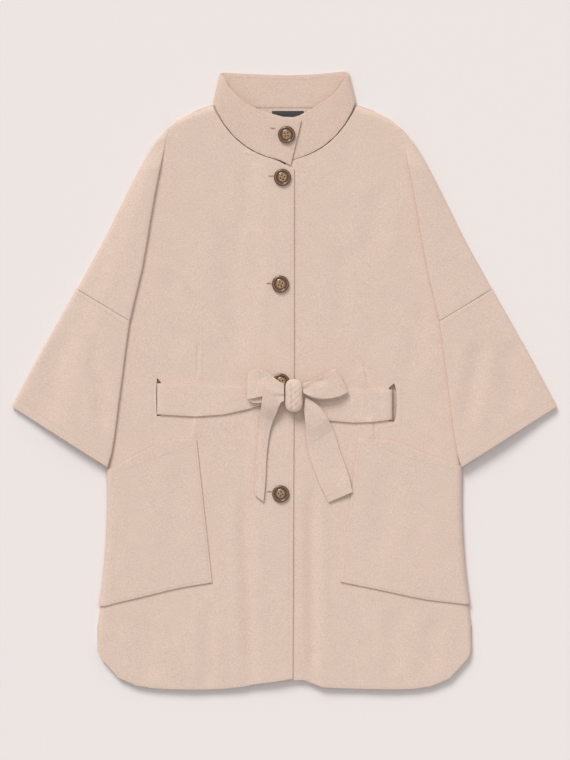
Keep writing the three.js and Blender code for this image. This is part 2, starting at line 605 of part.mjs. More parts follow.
// The loops: a strip that leaves the knot, turns over at its far end and comes back on top.
const loopRight = [
  { near: [-0.8, -8, 20.4], far: [-0.8, -26, 20.4] }, { near: [-12, -1, 20.4], far: [-12, -29, 21] },
  { near: [-30, 11, 20], far: [-30, -33, 21] }, { near: [-45, 14.5, 19.6], far: [-46, -34, 20] },
  { near: [-53, 13, 22], far: [-54, -29, 21.8] }, { near: [-45, 16, 24.8], far: [-46, -27, 24.4] },
  { near: [-30, 14, 25.6], far: [-32, -24, 25.4] }, { near: [-12, 1, 25.6], far: [-14, -22, 25.4] },
  { near: [-0.8, -6.5, 25.4], far: [-0.8, -21, 25.4] },
];
const loopLeft = [
  { near: [27.6, -4, 19.8], far: [27.6, -20, 19.8] }, { near: [40, -1, 18.8], far: [40, -27, 18.8] },
  { near: [58, 9, 18.2], far: [60, -30, 18.2] }, { near: [70, 15, 18], far: [84, -26, 18] },
  { near: [76, 15.5, 20.5], far: [93, -18, 20.2] }, { near: [69, 12, 23.6], far: [82, -24, 23.2] },
  { near: [56, 5, 25.4], far: [58, -28, 25] }, { near: [40, -1, 26], far: [40, -25, 25.6] },
  { near: [27.6, -5, 25.4], far: [27.6, -19, 25.4] },
];

// The tails: the right one hangs folded along its length, the left one lies open.
const tailRight = [
  { near: [-0.5, -5, 29.3], far: [-0.7, -31, 28.8], crown: 0.3 },
  { near: [-14, -1.5, 29.3], far: [-5, -33, 28.8], crown: 0.6 },
  { near: [-25, -7, 29.2], far: [-7, -37, 28], crown: 0.8 },
  { near: [-31, -18, 29.4], far: [-9, -42, 25.8], crown: 0.8 },
  { near: [-33.5, -33, 27.8], far: [-13, -51, 22.6], crown: 0.8 },
  { near: [-36, -52, 20], far: [-17.5, -62, 17.8], crown: 0.8 },
  { near: [-38, -72, 15.6], far: [-21.5, -76, 16.2], crown: 0.8 },
  { near: [-40, -92, 15], far: [-24.4, -93, 15.6], crown: 0.8 },
  { near: [-42.3, -118, 15], far: [-27, -120, 15.4], crown: 0.8 },
  { near: [-43.2, -146, 15], far: [-28, -148, 15.4], crown: 0.8 },
  { near: [-43.6, -170, 15], far: [-31, -180, 15.4], crown: 0.6 },
];
const tailLeft = [
  { near: [31, -25, 19.2], far: [28.5, -43, 19.2], crown: 0.6 },
  { near: [42, -31.5, 19], far: [29.5, -51, 19], crown: 1 },
  { near: [53, -41, 19], far: [31, -64, 18], crown: 1.5 },
  { near: [63.5, -56.5, 18.6], far: [31.5, -80, 15], crown: 1.5 },
  { near: [72, -73, 13.2], far: [33.5, -99, 12.8], crown: 1 },
  { near: [79.5, -97, 12.4], far: [39, -120, 12.4], crown: 0.6 },
  { near: [87, -119, 12.2], far: [48, -144, 12.2], crown: 0.4 },
  { near: [95.5, -143.5, 14.2], far: [57, -165, 12.4], crown: 0.2 },
  { near: [100.5, -165.5, 15.2], far: [65, -181, 12.4] },
];

// ---- buttons and label --------------------------------------------------------------------------

const button = { radius: 12.75, height: 4.6, rim: 2.6, dish: 1.2, holeRadius: 1.2, holeOffset: 2.7 };

function buttonGeometry() {
  const { radius, height, rim, dish } = button;
  const profile = [
    [0, 0], [radius * 0.72, 0], [radius * 0.94, height * 0.3], [radius, height * 0.6],
    [radius * 0.95, height * 0.88], [radius - rim * 0.6, height], [radius - rim * 1.1, height * 0.86],
    [radius - rim * 1.6, height - dish], [radius * 0.4, height - dish * 0.8], [0, height - dish * 0.8],
  ].map(([across, up]) => new THREE.Vector2(across, up));
  const body = new THREE.LatheGeometry(profile, 24).rotateX(Math.PI / 2);
  let solid = toSolid(body);
  for (const turn of [0, 1, 2, 3]) {
    const angle = (turn + 0.5) * Math.PI / 2;
    const hole = new THREE.CylinderGeometry(button.holeRadius, button.holeRadius, height * 3, 8);
    hole.rotateX(Math.PI / 2);
    hole.translate(button.holeOffset * Math.cos(angle), button.holeOffset * Math.sin(angle), 0);
    solid = solid.subtract(toSolid(hole));
  }
  return toGeometry(solid);
}

const labelSize = { left: -18.5, right: 28.5, bottom: 372, top: 398, thickness: 0.6 };
function labelGeometry() {
  const { left, right, bottom, top, thickness } = labelSize;
  const box = new THREE.BoxGeometry(right - left, top - bottom, thickness);
  return box.translate((left + right) / 2, (top + bottom) / 2, cloth + gap + thickness / 2);
}

// ---- the coat -----------------------------------------------------------------------------------

const wool = () => new THREE.MeshStandardMaterial({ color: 0xd9c0b1, roughness: 0.95, metalness: 0 });
const horn = () => new THREE.MeshStandardMaterial({ color: 0x4a3120, roughness: 0.25, metalness: 0 });
const satin = () => new THREE.MeshStandardMaterial({ color: 0x2d2d2d, roughness: 0.6, metalness: 0 });

const coat = new THREE.Group();
function add(name, geometry, material, x = 0, y = 0, z = 0) {
  const mesh = new THREE.Mesh(geometry, material);
  mesh.name = name;
  mesh.position.set(x, y, z);
  coat.add(mesh);
}

add('back', backPanel(), wool());
add('front_right', cut(wall(frontSheet(-1), cloth), slotTool(slotRight)), wool());
add('front_left', cut(wall(frontSheet(1), cloth), slotTool(slotLeft)), wool());
add('sleeve_right', wall(sleeveSheet(-1), cloth), wool());
add('sleeve_left', wall(sleeveSheet(1), cloth), wool());
add('collar', wall(collarSheet(), cloth), wool());
add('pocket_right', wall(pocketSheet(-1, pocketRight), cloth), wool());
add('pocket_left', wall(pocketSheet(1, pocketLeft), cloth), wool());
add('belt_right', wall(beltStretch(-1, slotRight, beltRight), beltCloth), wool());
add('belt_left', wall(beltStretch(1, slotLeft, beltLeft), beltCloth), wool());
add('belt_inside', beltInside(), wool());
add('belt_knot', knotGeometry(), wool());
add('bow_loop_right', wall(strip(loopRight), beltCloth), wool());
add('bow_loop_left', wall(strip(loopLeft), beltCloth), wool());
add('belt_tail_right', wall(strip(tailRight), beltCloth), wool());
add('belt_tail_left', wall(strip(tailLeft), beltCloth), wool());

const onUpperFront = frontLevel + overlapLift + half + gap;
const buttons = [
  { name: 'button_collar', x: 3, y: 362, z: onUpperFront + 1 },
  { name: 'button_neck', x: -3, y: 299, z: onUpperFront },
  { name: 'button_chest', x: -6, y: 141.5, z: onUpperFront },
  { name: 'button_waist', x: -5, y: -3, z: onUpperFront },
  { name: 'button_lower', x: -5.6, y: -168, z: onUpperFront },
];
for (const { name, x, y, z } of buttons) add(name, buttonGeometry(), horn(), x, y, z);
add('label', labelGeometry(), satin());

export default coat;
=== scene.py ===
# %% [markdown]
# # A belted wool coat, laid flat
# The construction is already settled: every sewn piece exists as a solid at its real size.
# This script gives the pieces their cloth. All lengths are metres, +Y points to the collar.

# %% Load the frame
import math

import bmesh
import bpy
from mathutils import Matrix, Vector
from mathutils.bvhtree import BVHTree


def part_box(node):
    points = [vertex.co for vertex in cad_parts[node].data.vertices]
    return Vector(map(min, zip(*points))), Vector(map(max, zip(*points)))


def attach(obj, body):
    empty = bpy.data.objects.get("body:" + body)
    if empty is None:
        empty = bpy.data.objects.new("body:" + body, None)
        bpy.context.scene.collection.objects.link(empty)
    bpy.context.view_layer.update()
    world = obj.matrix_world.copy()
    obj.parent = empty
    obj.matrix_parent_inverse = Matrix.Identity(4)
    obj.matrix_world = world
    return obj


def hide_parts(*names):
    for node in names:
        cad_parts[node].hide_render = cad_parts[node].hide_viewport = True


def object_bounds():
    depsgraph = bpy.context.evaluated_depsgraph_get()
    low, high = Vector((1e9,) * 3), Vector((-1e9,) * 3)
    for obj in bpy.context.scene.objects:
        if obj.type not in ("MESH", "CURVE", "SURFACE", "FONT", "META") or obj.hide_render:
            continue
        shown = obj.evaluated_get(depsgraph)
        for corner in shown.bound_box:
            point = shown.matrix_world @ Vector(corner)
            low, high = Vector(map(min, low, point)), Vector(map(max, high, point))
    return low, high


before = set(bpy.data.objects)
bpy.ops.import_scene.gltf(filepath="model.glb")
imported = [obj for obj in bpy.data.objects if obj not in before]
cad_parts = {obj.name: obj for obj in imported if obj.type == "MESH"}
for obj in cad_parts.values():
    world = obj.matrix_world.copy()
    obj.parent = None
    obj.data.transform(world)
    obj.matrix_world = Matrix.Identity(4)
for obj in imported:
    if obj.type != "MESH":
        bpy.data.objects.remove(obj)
construction_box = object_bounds()
MM = 0.001
print("pieces in the frame:", len(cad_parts))

# %% [markdown]
# Shader maths reads better as Python expressions. A small class wraps a node socket, so
# `a * 0.5 + b` adds the Math nodes itself. The other way is to draw every link by hand,
# which hides the formula.

# %% A wrapper for shader sockets


class Wire:
    def __init__(self, tree, socket):
        self.tree = tree
        self.socket = socket

    def math(self, kind, *values):
        return node(self.tree, "ShaderNodeMath", {"operation": kind}, values)

    def __add__(self, other):
        return self.math("ADD", self, other)

    def __sub__(self, other):
        return self.math("SUBTRACT", self, other)

    def __rsub__(self, other):
        return self.math("SUBTRACT", other, self)

    def __mul__(self, other):
        return self.math("MULTIPLY", self, other)

    def __truediv__(self, other):
        return self.math("DIVIDE", self, other)

    __radd__ = __add__
    __rmul__ = __mul__


def node(tree, kind, settings=None, values=(), output=0):
    made = tree.nodes.new(kind)
    for name, value in (settings or {}).items():
        if name == "stops":
            ramp = made.color_ramp
            ramp.elements[0].position, ramp.elements[0].color = value[0]
            ramp.elements[1].position, ramp.elements[1].color = value[-1]
            for place, colour in value[1:-1]:
                ramp.elements.new(place).color = colour
        else:
            setattr(made, name, value)
    pairs = values.items() if isinstance(values, dict) else enumerate(values)
    for key, value in pairs:
        if isinstance(value, Wire):
            tree.links.new(value.socket, made.inputs[key])
        else:
            made.inputs[key].default_value = value
    return Wire(tree, made.outputs[output])


def new_material(name, **shader):
    material = bpy.data.materials.new(name)
    material.use_nodes = True
    surface = material.node_tree.nodes["Principled BSDF"]
    for key, value in shader.items():
        surface.inputs[key.replace("_", " ")].default_value = value
    return material, material.node_tree, surface


def rgb(red, green, blue):
    linear = [((c / 255 + 0.055) / 1.055) ** 2.4 for c in (red, green, blue)]
    return (*linear, 1.0)


print("shader wrapper ready")

# %% [markdown]
# The coat is double-faced wool: a brushed, felted face with no weave to be seen, in a warm
# pink beige. Up close it is a mat of short fibres with paler and darker flecks. Noise at three
# sizes gives the broad mottling, the flecks and the nap, and the same nap feeds the bump.

# %% Wool


def wool_material(name, colour):
    material, tree, surface = new_material(name, Roughness=0.95)
    surface.inputs["Sheen Weight"].default_value = 0.25
    surface.inputs["Sheen Roughness"].default_value = 0.6
    surface.inputs["Sheen Tint"].default_value = (1.0, 0.93, 0.88, 1.0)
    surface.inputs["Specular IOR Level"].default_value = 0.15
    place = node(tree, "ShaderNodeTexCoord", output=3)
    broad = node(tree, "ShaderNodeTexNoise", {}, {"Vector": place, "Scale": 45.0, "Detail": 3.0})
    fleck = node(tree, "ShaderNodeTexNoise", {}, {"Vector": place, "Scale": 620.0, "Detail": 4.0,
                                                  "Roughness": 0.7})
    leaning = node(tree, "ShaderNodeMapping", {}, {"Vector": place, "Rotation": (0, 0, 0.5),
                                                   "Scale": (1.0, 0.3, 1.0)})
    nap = node(tree, "ShaderNodeTexNoise", {}, {"Vector": leaning, "Scale": 1300.0, "Detail": 3.0})
    shade = (broad - 0.5) * 0.15 + (fleck - 0.5) * 1.2 + (nap - 0.5) * 0.9 + 0.5
    dark = tuple(c * 0.80 for c in colour[:3])
    light = tuple(min(1.0, c * 1.17) for c in colour[:3])
    cloth = node(tree, "ShaderNodeValToRGB", {"stops": [(0.15, (*dark, 1)), (0.85, (*light, 1))]},
                 {"Fac": shade})
    height = fleck * 0.6 + nap * 0.4
    bump = node(tree, "ShaderNodeBump", {}, {"Strength": 0.35, "Distance": 0.0006, "Height": height})
    tree.links.new(cloth.socket, surface.inputs["Base Color"])
    tree.links.new(bump.socket, surface.inputs["Normal"])
    return material


wool = wool_material("wool face", rgb(222, 198, 183))
# The collar gets a copy of the same wool painted a touch darker: painted shade on the collar.
wool_collar_shaded = wool_material("shaded wool of the collar", rgb(220, 194, 178))
thread, _, _ = new_material("sewing thread", Roughness=0.6, Base_Color=rgb(206, 178, 162))
print("wool materials made")

# %% [markdown]
# Cloth that lies flat is never quite flat. Its long soft troughs are listed: each row
# gives the trough's two ends, its depth and its half-width in millimetres. Everything that lies
# on the fronts moves with them, so pockets and belt stay on the cloth.

# %% Troughs of the fronts and sleeves
TROUGHS = [
    dict(x0=-61, y0=-140, x1=-47, y1=-470, depth=2.2, width=10),
    dict(x0=-112, y0=-318, x1=-113, y1=-470, depth=1.5, width=11),
    dict(x0=40, y0=-128, x1=43, y1=-470, depth=2.6, width=9),
    dict(x0=159, y0=-335, x1=166, y1=-440, depth=1.2, width=12),
    dict(x0=-90, y0=235, x1=-66, y1=20, depth=1.6, width=17),
    dict(x0=80, y0=200, x1=90, y1=60, depth=1.2, width=15),
    dict(x0=-286, y0=72, x1=-262, y1=-85, depth=1.8, width=12),
    dict(x0=290, y0=70, x1=266, y1=-80, depth=1.5, width=13),
    dict(x0=-330, y0=70, x1=-345, y1=-60, depth=1.2, width=16),
    dict(x0=326, y0=60, x1=348, y1=-50, depth=1.4, width=15),
    dict(x0=-127, y0=60, x1=-128, y1=0, depth=0.7, width=2.6),
    dict(x0=117, y0=30, x1=123, y1=-6, depth=0.8, width=2.6),
    dict(x0=-62, y0=316, x1=-48, y1=215, depth=1.0, width=13),
    dict(x0=150, y0=300, x1=120, y1=170, depth=0.9, width=16),
    dict(x0=-180, y0=170, x1=-150, y1=30, depth=1.1, width=18),
    dict(x0=205, y0=120, x1=190, y1=0, depth=1.0, width=16),
    dict(x0=-215, y0=-345, x1=-190, y1=-450, depth=1.3, width=15),
    dict(x0=222, y0=-345, x1=214, y1=-440, depth=1.2, width=14),
    dict(x0=-165, y0=-120, x1=-150, y1=-250, depth=0.9, width=18),
    dict(x0=150, y0=-120, x1=140, y1=-270, depth=1.0, width=17),
]


# A pressed tuck is a small step: the cloth on one side stands above the other. A rise above
# zero lifts the side of larger x, and one below zero lifts the side of smaller x.
TUCKS = [
    dict(x0=-131.5, y0=-45, x1=-137, y1=-92, rise=2.2, width=1.3),
    dict(x0=128.5, y0=-50, x1=133, y1=-93, rise=-2.2, width=1.3),
    dict(x0=-127.5, y0=50, x1=-129, y1=-8, rise=1.0, width=1.5),
    dict(x0=118.5, y0=22, x1=123.5, y1=-16, rise=-1.4, width=1.4),
]


def tuck_height(x, y):
    total = 0.0
    for t in TUCKS:
        part = (y - t["y0"]) / (t["y1"] - t["y0"])
        if not 0 < part < 1:
            continue
        away = (x - t["x0"] - (t["x1"] - t["x0"]) * part) / t["width"]
        if abs(away) < 16:
            fade = soft_step(part * 3) * soft_step((1 - part) * 3)
            side = 0.5 + 0.5 * math.tanh(away)
            if t["rise"] > 0:
                total += t["rise"] * fade * side * math.exp(-max(0.0, away) / 8)
            else:
                total -= t["rise"] * fade * (1 - side) * math.exp(-max(0.0, -away) / 8)
    return total


def soft_step(value):
    value = min(1.0, max(0.0, value))
    return value * value * (3 - 2 * value)


def trough_height(x, y):
    total = 0.0
    for t in TROUGHS:
        along_x, along_y = t["x1"] - t["x0"], t["y1"] - t["y0"]
        length = math.hypot(along_x, along_y)
        part = ((x - t["x0"]) * along_x + (y - t["y0"]) * along_y) / length**2
        if not -0.05 < part < 1.05:
            continue
        away = ((x - t["x0"]) * along_y - (y - t["y0"]) * along_x) / length / t["width"]
        if abs(away) > 3:
            continue
        fade = soft_step(part * 4) * soft_step((1 - part) * 4)
        trough = math.exp(-away * away) - 0.35 * math.exp(-((abs(away) - 1.7) ** 2) * 1.6)
        total -= 1.5 * t["depth"] * fade * trough
    total += 0.35 * math.sin(x * 0.031 + 1.3) * math.sin(y * 0.023 + 0.4)
    return total


def settle(p):
    """Moves a point down or up with the troughs; the back stays on the surface."""
    share = soft_step((p.z / MM - 3.2) / 4.0)
    height = trough_height(p.x / MM, p.y / MM) + tuck_height(p.x / MM, p.y / MM)
    p.z += share * height * MM


print("troughs:", len(TROUGHS))

# %% [markdown]
# The sewn solids keep a hair's gap at their seams. Real seams are pulled shut, so the sleeves'
# upper edges are eased up to the armhole seam over the last centimetre.

# %% Seams pulled shut
SEAM_INNER = (228.0, 87.0)
SEAM_OUTER = (307.0, 135.0)


def close_armhole(p):
    out, y = abs(p.x) / MM, p.y / MM
    along_x, along_y = SEAM_OUTER[0] - SEAM_INNER[0], SEAM_OUTER[1] - SEAM_INNER[1]
    length = math.hypot(along_x, along_y)
    part = ((out - SEAM_INNER[0]) * along_x + (y - SEAM_INNER[1]) * along_y) / length**2
    below = ((out - SEAM_INNER[0]) * along_y - (y - SEAM_INNER[1]) * along_x) / length
    if p.z < 6 * MM or not -0.2 < part < 1.1:
        return
    share = soft_step(1 - below / 14)
    opening = 2.35 * (1 - min(1.0, max(0.0, part))) + 0.25
    p.y += opening * share * MM


print("armhole seam length:", round(math.dist(SEAM_INNER, SEAM_OUTER), 1), "mm")

# %% [markdown]
# Each sewn piece is copied from its solid into a fresh mesh. Its triangles are paired into
# quads, the cut edges are softly rounded, and the faces are divided until the troughs can bend
# them. Sculpting would also work, but code keeps the seams at their real gap.

# %% A cloth shell from a sewn piece
CLOTH_EDGE = 7.0
BOW_EDGE = 1.8
TUCK_EDGE = 1.6
TUCK_REACH = 9


def allowed_edge(middle, finest):
    """The longest edge that may cross here: short near the tucks, longer elsewhere."""
    x, y = middle.x / MM, middle.y / MM
    for t in TUCKS:
        part = (y - t["y0"]) / (t["y1"] - t["y0"])
        if -0.1 < part < 1.1 and abs(x - t["x0"] - (t["x1"] - t["x0"]) * part) < TUCK_REACH:
            return TUCK_EDGE * MM
    return finest * MM


def shell(name, source, material, finest=CLOTH_EDGE, edge=0.7, sharp=48, rounds=7, shape=None):
    work = bmesh.new()
    work.from_mesh(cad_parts[source].data)
    bmesh.ops.remove_doubles(work, verts=work.verts, dist=0.00002)
    bmesh.ops.dissolve_degenerate(work, edges=work.edges, dist=0.00001)
    bmesh.ops.join_triangles(work, faces=work.faces, angle_face_threshold=math.radians(20),
                             angle_shape_threshold=math.radians(60))
    rims = [e for e in work.edges if len(e.link_faces) == 2
            and e.calc_face_angle() > math.radians(55)]
    bmesh.ops.bevel(work, geom=rims, offset=edge * MM, segments=2, profile=0.6, affect="EDGES",
                    clamp_overlap=True)
    for _ in range(rounds):
        long_edges = [e for e in work.edges
                      if e.calc_length() > allowed_edge((e.verts[0].co + e.verts[1].co) / 2, finest)]
        if not long_edges:
            break
        bmesh.ops.subdivide_edges(work, edges=long_edges, cuts=1, use_grid_fill=True)
    big = [f for f in work.faces if len(f.verts) > 4]
    bmesh.ops.triangulate(work, faces=big)
    for vertex in work.verts:
        if source.startswith("sleeve"):
            close_armhole(vertex.co)
        if shape:
            shape(vertex.co)
        settle(vertex.co)
    for edge_line in work.edges:
        if len(edge_line.link_faces) == 2:
            edge_line.smooth = edge_line.calc_face_angle() < math.radians(sharp)
    for face in work.faces:
        face.smooth = True
    mesh = bpy.data.meshes.new(name)
    work.to_mesh(mesh)
    work.free()
    mesh.materials.append(material)
    piece = bpy.data.objects.new(name, mesh)
    bpy.context.scene.collection.objects.link(piece)
    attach(piece, "root")
    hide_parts(source)
    print(name, "faces:", len(mesh.polygons))
    return piece


def pinch(p):
    """Small folds that run out from the knot and die away along a loop or tail."""
    x, y = p.x / MM - 13.7, p.y / MM + 23
    away = math.hypot(x, y)
    angle = math.atan2(y, x)
    fade = math.exp(-max(0.0, away - 16) / 16)
    folds = math.sin(angle * 9 + 0.6) + 0.5 * math.sin(angle * 17 + away * 0.05)
    dimple = -2.4 * math.exp(-(((p.x / MM - 52) / 9) ** 2) - ((p.y / MM + 2) / 5.5) ** 2)
    hollow = -1.2 * math.exp(-(((p.x / MM + 34) / 7) ** 2) - ((p.y / MM - 3) / 8) ** 2)
    top = soft_step((p.z / MM - 21) / 3)
    p.z += (0.75 * folds * fade + (dimple + hollow) * top) * MM


def lengthwise_fold(p):
    """The right tail has a shallow crease along its length."""
    x, y = p.x / MM, p.y / MM
    if y < -30:
        crease = -38.0 + (y + 30) * 0.006
        away = (x - crease) / 1.6
        p.z -= 0.9 * math.exp(-away * away) * soft_step((-30 - y) / 25) * MM


def tail_and_pinch(p):
    pinch(p)
    lengthwise_fold(p)


SHAPES = {"bow_loop_right": pinch, "bow_loop_left": pinch, "belt_tail_left": pinch,
          "belt_tail_right": tail_and_pinch}
cloth = {}
for source in ("back", "front_right", "front_left", "sleeve_right", "sleeve_left", "collar",
               "pocket_right", "pocket_left", "belt_right", "belt_left", "belt_inside",
               "bow_loop_right", "bow_loop_left", "belt_tail_right", "belt_tail_left"):
    finish = wool_collar_shaded if source == "collar" else wool
    finest = BOW_EDGE if source in SHAPES else CLOTH_EDGE
    cloth[source] = shell(f"{source}_cloth", source, finish, finest=finest,
                          shape=SHAPES.get(source))

# %% [markdown]
# The flat size of each piece is listed here. The sizes were set from the solids, so they agree
# with them by design. The loops and tails are strips shaped for the bow, narrower than the belt
# they stand for, and their lengths and widths are rough.

# %% Flat sizes of the pieces
CUTS = {
    "back": ((0.614, 0.864), "laid", 0.434),
    "front_right": ((0.33, 0.90), "folded", 0.245),
    "front_left": ((0.34, 0.90), "folded", 0.250),
    "sleeve_right": ((0.35, 0.20), "laid", 0.060),
    "sleeve_left": ((0.35, 0.20), "laid", 0.060),
    "collar": ((0.50, 0.065), "laid", 0.030),
    "pocket_right": ((0.17, 0.22), "laid", 0.034),
    "pocket_left": ((0.20, 0.22), "laid", 0.039),
    "belt_right": ((0.22, 0.046), "laid", None),
    "belt_left": ((0.17, 0.046), "laid", None),
    "belt_inside": ((0.30, 0.046), "laid", None),
    "bow_loop_right": ((0.12, 0.036), "folded", None),
    "bow_loop_left": ((0.13, 0.036), "folded", None),
    "belt_tail_right": ((0.20, 0.020), "folded", None),
    "belt_tail_left": ((0.155, 0.042), "laid", None),
}
for source, (flat, held, area) in CUTS.items():
    rests = "back" if source != "back" else ()
print("sheets declared:", len(CUTS))

# %% [markdown]
# The knot is the belt wound twice round itself. A ball squeezed square, with a crease where the
# two turns meet and a few slanting wrinkles, reads as wound cloth.

# %% Knot of the bow


def knot_cloth():
    low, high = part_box("belt_knot")
    middle = (low + high) / 2
    size = (high - low) / 2
    work = bmesh.new()
    bmesh.ops.create_uvsphere(work, u_segments=96, v_segments=64, radius=1.0)
    for vertex in work.verts:
        x, y, z = (math.copysign(abs(c) ** power, c)
                   for c, power in zip(vertex.co, (0.8, 0.72, 0.8)))
        crease = 0.24 * math.exp(-(((x + 0.18 + 0.1 * y) / 0.13) ** 2))
        wrinkle = 0.05 * math.sin(y * 9 + x * 5) + 0.035 * math.sin(y * 17 - x * 8 + 1)
        pinch = 1 - 0.07 * math.cos(y * math.pi)
        z = z * (1 - crease - wrinkle * max(0.0, z))
        vertex.co = middle + Vector((x * pinch * size.x, y * size.y, z * size.z))
    for face in work.faces:
        face.smooth = True
    mesh = bpy.data.meshes.new("knot_cloth")
    work.to_mesh(mesh)
    work.free()
    mesh.materials.append(wool)
    piece = bpy.data.objects.new("knot_cloth", mesh)
    bpy.context.scene.collection.objects.link(piece)
    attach(piece, "root")
    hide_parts("belt_knot")
    return piece


knot = knot_cloth()
print("knot:", len(knot.data.polygons), "faces")

# %% [markdown]
# The buttons are polished horn: a rounded dark rim, a groove, and a paler amber middle with
# four holes and crossed thread. Turning a profile round an axis gives them exactly. The colour
# follows the distance from each button's own middle, broken up by smoky noise.

# %% Horn buttons


def horn_material(name, middle, radius, turn):
    material, tree, surface = new_material(name, Roughness=0.2)
    surface.inputs["Coat Weight"].default_value = 0.6
    surface.inputs["Coat Roughness"].default_value = 0.08
    place = node(tree, "ShaderNodeTexCoord", output=3)
    near = node(tree, "ShaderNodeVectorMath", {"operation": "SUBTRACT"},
                {0: place, 1: (middle.x, middle.y, middle.z)})
    flat = node(tree, "ShaderNodeVectorMath", {"operation": "MULTIPLY"}, {0: near, 1: (1, 1, 0)})
    across = node(tree, "ShaderNodeVectorMath", {"operation": "LENGTH"}, {0: flat}, output=1)
    turned = node(tree, "ShaderNodeMapping", {}, {"Vector": near, "Rotation": (0, 0, turn),
                                                  "Scale": (1.0, 0.4, 1.0)})
    smoke = node(tree, "ShaderNodeTexNoise", {}, {"Vector": turned, "Scale": 190.0, "Detail": 4.0})
    share = across / radius + (smoke - 0.5) * 0.3
    # The amber middle and brown rim are the horn's own colours; the darkest ring, at the groove, is painted
    # shade.
    stops = [(0.0, rgb(172, 138, 88)), (0.42, rgb(150, 112, 66)), (0.62, rgb(66, 42, 26)),
             (0.82, rgb(122, 84, 50)), (1.0, rgb(74, 46, 28))]
    colour = node(tree, "ShaderNodeValToRGB", {"stops": stops}, {"Fac": share})
    tree.links.new(colour.socket, surface.inputs["Base Color"])
    return material


def turned_mesh(work, profile, middle, segments=64):
    rings = []
    for across, up in profile:
        ring = [work.verts.new(middle + Vector((across * math.cos(a), across * math.sin(a), up)))
                for a in (i * math.tau / segments for i in range(segments))]
        rings.append(ring)
    for low, high in zip(rings, rings[1:]):
        for i in range(segments):
            j = (i + 1) % segments
            work.faces.new((low[i], low[j], high[j], high[i]))
    work.faces.new(rings[0][::-1])
    work.faces.new(rings[-1])


def finished(work, name, material, source=None):
    for face in work.faces:
        face.smooth = True
    bmesh.ops.recalc_face_normals(work, faces=work.faces)
    mesh = bpy.data.meshes.new(name)
    work.to_mesh(mesh)
    work.free()
    mesh.materials.append(material)
    piece = bpy.data.objects.new(name, mesh)
    bpy.context.scene.collection.objects.link(piece)
    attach(piece, "root")
    if source:
        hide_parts(source)
    return piece


# Each hole is a dark disc: painted shade where the hole looks through.
hole_shade_paint, _, _ = new_material("painted hole shade", Roughness=0.7, Base_Color=rgb(22, 14, 10))
button_thread, _, _ = new_material("button thread", Roughness=0.7, Base_Color=rgb(176, 140, 104))


def horn_button(source, turn):
    low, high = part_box(source)
    middle = Vector(((low.x + high.x) / 2, (low.y + high.y) / 2, low.z))
    radius, height = (high.x - low.x) / 2, high.z - low.z
    profile = [(0.7, 0.0), (0.9, 0.2), (0.98, 0.45), (1.0, 0.62), (0.985, 0.78), (0.94, 0.92),
               (0.88, 0.985), (0.82, 1.0), (0.76, 0.96), (0.71, 0.84), (0.67, 0.72), (0.63, 0.68),
               (0.58, 0.7), (0.54, 0.78), (0.48, 0.83), (0.4, 0.85), (0.2, 0.86), (0.02, 0.86)]
    work = bmesh.new()
    turned_mesh(work, [(a * radius, u * height) for a, u in profile], middle)
    finished(work, f"{source}_horn", horn_material(f"{source} horn", middle, radius, turn),
             source)
    top = middle + Vector((0, 0, 0.865 * height))
    turns = [turn + quarter * math.pi / 2 for quarter in range(4)]
    corners = [top + Vector((math.cos(a), math.sin(a), 0)) * 0.23 * radius for a in turns]
    holes = bmesh.new()
    for corner in corners:
        turned_mesh(holes, [(1.25 * MM, -0.3 * MM), (1.25 * MM, 0.03 * MM), (0.1 * MM, 0.05 * MM)],
                    corner, 20)
    finished(holes, f"{source}_holes", hole_shade_paint)
    strands = bmesh.new()
    for a, b in ((0, 2), (1, 3)):
        strand(strands, corners[a] + Vector((0, 0, 0.2 * MM)), corners[b] + Vector((0, 0, 0.2 * MM)),
               0.42 * MM, 0.45 * MM)
    finished(strands, f"{source}_thread", button_thread)


def strand(work, start, end, thick, arch, steps=6, sides=6):
    """A short rounded stitch from start to end that stands up in its middle."""
    along = (end - start).normalized()
    side = along.cross(Vector((0, 0, 1))).normalized()
    up = side.cross(along)
    rings = []
    for i in range(steps + 1):
        part = i / steps
        swell = max(0.15, math.sin(math.pi * part) ** 0.5)
        middle = start.lerp(end, part) + up * arch * math.sin(math.pi * part)
        rings.append([work.verts.new(middle + (side * math.cos(a) + up * math.sin(a)) * thick * swell)
                      for a in (k * math.tau / sides for k in range(sides))])
    for low, high in zip(rings, rings[1:]):
        for k in range(sides):
            m = (k + 1) % sides
            work.faces.new((low[k], low[m], high[m], high[k]))
    work.faces.new(rings[0][::-1])
    work.faces.new(rings[-1])


for index, source in enumerate(sorted(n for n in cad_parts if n.startswith("button_"))):
    horn_button(source, 0.4 + 0.5 * index)
print("buttons turned")

# %% [markdown]
# Edge stitching runs about 6 mm in from the collar's edges and closer in elsewhere. Each stitch
# is a small rounded strand laid on the cloth below it, found by looking straight down.

# %% Stitch rows
tops = {name: BVHTree.FromObject(piece, bpy.context.evaluated_depsgraph_get())
        for name, piece in cloth.items() if name not in ("back", "belt_inside")}


def cloth_below(names, x, y):
    best = None
    for name in names:
        hit, _, _, _ = tops[name].ray_cast(Vector((x, y, 0.2)), Vector((0, 0, -1)))
        if hit and (best is None or hit.z > best.z):
            best = hit
    return best


def stitch_row(work, names, corners, pitch=3.4, length=2.6, thick=0.28):
    points = [Vector((x * MM, y * MM, 0)) for x, y in corners]
    carry = 0.0
    for a, b in zip(points, points[1:]):
        span = (b - a).length
        along = (b - a) / span
        at = carry
        while at < span:
            p = a + along * at
            q = a + along * min(span, at + length * MM)
            low, high = cloth_below(names, p.x, p.y), cloth_below(names, q.x, q.y)
            if low and high and abs(low.z - high.z) < 1.2 * MM:
                sink = Vector((0, 0, -0.12 * MM))
                strand(work, low + sink, high + sink, thick * MM, 0.16 * MM, 3, 5)
            at += pitch * MM
        carry = at - span


